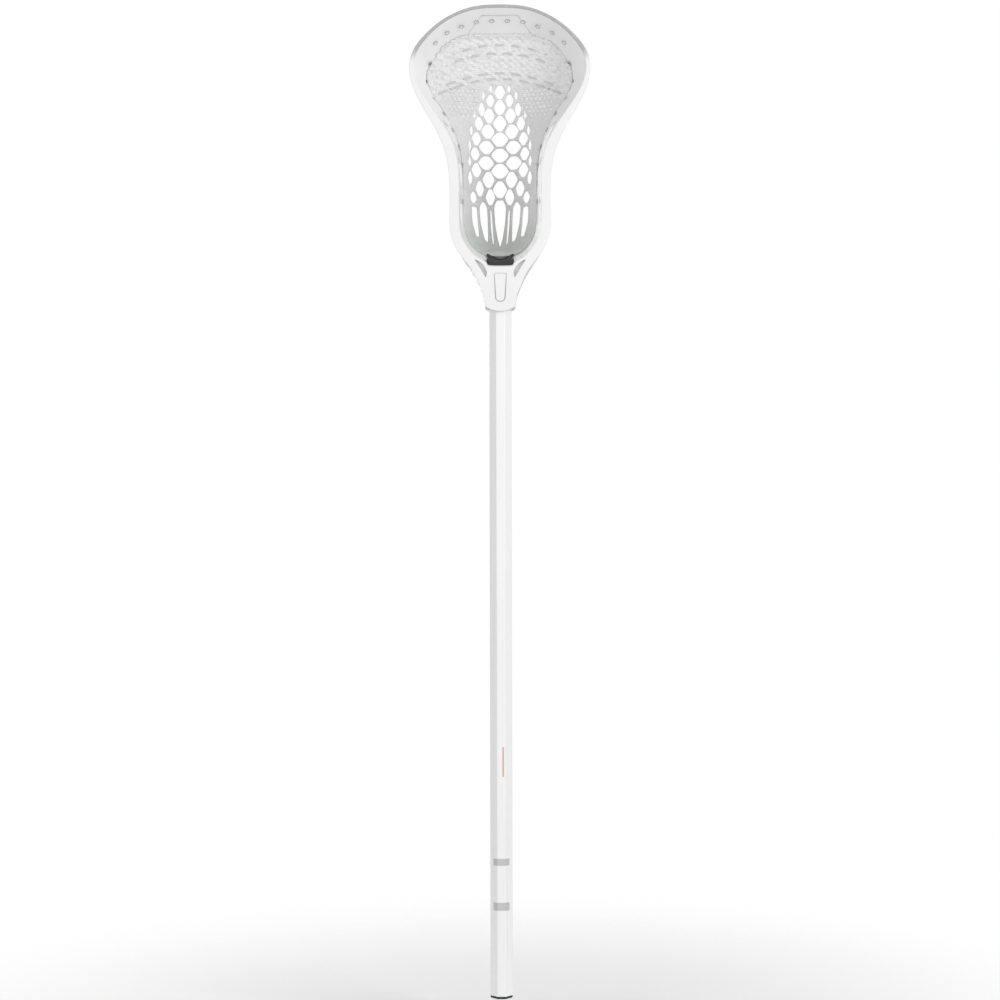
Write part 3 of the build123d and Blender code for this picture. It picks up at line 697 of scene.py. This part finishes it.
# ---------------------------------------------------------------- shooting laces
# Height of each lace at its middle, how far it reaches to each side and where its first dash is, in mm.
LACES = [(982.0, 48.0, 0.0), (974.5, 55.0, 8.5), (956.0, 63.0, 0.0), (950.6, 64.0, 8.5)]
DASH_PITCH = 17.0
LACE_HALF_WIDTH, LACE_HALF_THICK = 0.9, 0.42
LACE_LIFT = 1.5  # how far its dashes stand out of the knit
LACE_SIDES = 8


def boxy(value):
    """A sine or cosine flattened, so that a ring becomes a rounded rectangle."""
    return math.copysign(abs(value) ** 0.7, value)


def lace_mesh(name, middle_z, reach, first):
    """A flat lace that shows in front of the knit in dashes and passes behind it between them."""
    mesh = bpy.data.meshes.new(name)
    made = bmesh.new()
    rings = []
    count = round(2 * reach / 0.6)
    for i in range(count + 1):
        x = -reach + 2 * reach * i / count
        z = middle_z - LACE_DROP * (x / LACE_SPREAD) ** 2
        over = math.cos(2 * math.pi * (x - first) / DASH_PITCH)
        lift = LACE_LIFT * max(-1.0, min(1.0, 1.9 * over + 0.5))
        y = face_y(x, z) + 0.35 - lift
        slope = -2 * LACE_DROP * x / LACE_SPREAD**2
        along = Vector((1.0, 0.0, slope)).normalized()
        across = Vector((-along.z, 0.0, along.x))
        ring = []
        for k in range(LACE_SIDES):
            a = 2 * math.pi * (k + 0.5) / LACE_SIDES
            out = across * (LACE_HALF_WIDTH * boxy(math.cos(a)))
            out = out + Vector((0, LACE_HALF_THICK * boxy(math.sin(a)), 0))
            ring.append(made.verts.new((Vector((x, y, z)) + out) * MM))
        rings.append(ring)
    for a, b in zip(rings, rings[1:]):
        for k in range(LACE_SIDES):
            after = (k + 1) % LACE_SIDES
            made.faces.new((a[k], a[after], b[after], b[k]))
    made.faces.new(rings[0])
    made.faces.new(list(reversed(rings[-1])))
    bmesh.ops.recalc_face_normals(made, faces=made.faces)
    made.to_mesh(mesh)
    made.free()
    return mesh


for number, (middle_z, reach, first) in enumerate(LACES, start=1):
    name = f"woven_lace_{number}"
    new_piece(name, lace_mesh(name, middle_z, reach, first), LACE, "lace_cord", f"shooting_lace_{number}")

# ---------------------------------------------------------------- ball stop pad
pad_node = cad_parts["ball_stop_pad"]
pad = new_piece("ball_stop_foam", pad_node.data.copy(), foam(), "pad_foam", "ball_stop_pad")
pad.matrix_world = pad_node.matrix_world
apply(pad, "REMESH", mode="VOXEL", voxel_size=0.45 * MM)
apply(pad, "SMOOTH", factor=0.5, iterations=6)
smooth(pad)

# ---------------------------------------------------------------- studio
ROOM = (0.84, 0.42)  # strength of the room's light in front and elsewhere
WHITE = (1.0, 1.0, 1.0, 1.0)
world = bpy.data.worlds.new("studio")
scene.world = world
world.use_nodes = True
sky = world.node_tree
ambient = sky.nodes["Background"]
backdrop = sky.nodes.new("ShaderNodeBackground")
ambient.inputs["Color"].default_value = WHITE
backdrop.inputs["Color"].default_value = WHITE
backdrop.inputs["Strength"].default_value = 1.0
# The room is brightest in front of the object, dimmer at its sides and behind.
way = sky.nodes.new("ShaderNodeTexCoord")
split = sky.nodes.new("ShaderNodeSeparateXYZ")
fade = sky.nodes.new("ShaderNodeMapRange")
fade.interpolation_type = "SMOOTHSTEP"
for socket, number in zip(fade.inputs[1:5], (-0.9, 0.25, *ROOM)):
    socket.default_value = number
sky.links.new(way.outputs["Generated"], split.inputs[0])
sky.links.new(split.outputs[1], fade.inputs[0])
sky.links.new(fade.outputs[0], ambient.inputs["Strength"])
seen = sky.nodes.new("ShaderNodeLightPath")
both = sky.nodes.new("ShaderNodeMixShader")
sky.links.new(seen.outputs["Is Camera Ray"], both.inputs[0])
sky.links.new(ambient.outputs[0], both.inputs[1])
sky.links.new(backdrop.outputs[0], both.inputs[2])
sky.links.new(both.outputs[0], sky.nodes["World Output"].inputs["Surface"])


def soft_light(name, place, aim, width, height, power):
    data = bpy.data.lights.new(name, "AREA")
    data.shape = "RECTANGLE"
    data.size, data.size_y = width, height
    data.energy = power
    light = bpy.data.objects.new(name, data)
    light.location = place
    light.rotation_euler = (Vector(aim) - Vector(place)).to_track_quat("-Z", "Y").to_euler()
    scene.collection.objects.link(light)


soft_light("key", (1.5, -1.2, 1.1), (0, 0, 0.62), 0.9, 1.1, 15.0)
soft_light("fill", (-1.4, -1.3, 0.9), (0, 0, 0.7), 0.8, 1.2, 5.0)
soft_light("rear", (-0.7, 1.7, 1.3), (0, 0, 0.7), 1.2, 1.2, 14.0)

CAP_TRAVEL = 0.030
FLOOR_WHOLE, FLOOR_END = 0.12, 0.75  # how far from the stick the floor begins to fade and where it has gone
# The stick is held up, so that the floor stays clear of the end cap when it is pulled out.
bpy.ops.mesh.primitive_plane_add(size=6.0, location=(0, 0, -CAP_TRAVEL - 0.001))
floor = bpy.context.object
floor.name = "floor"
paint = Graph("floor_paint")
paint.set("Base Color", grey(0.93))
paint.set("Roughness", paint.spread(paint.noise(3.0), 0.3, 0.7, 0.75, 0.9))
squares = [paint.math("POWER", side, 2.0) for side in (paint.x, paint.y)]
away = paint.math("SQRT", paint.math("ADD", *squares))
paint.set("Alpha", paint.spread(away, FLOOR_WHOLE, FLOOR_END, 1.0, 0.0))
floor.data.materials.append(paint.material)
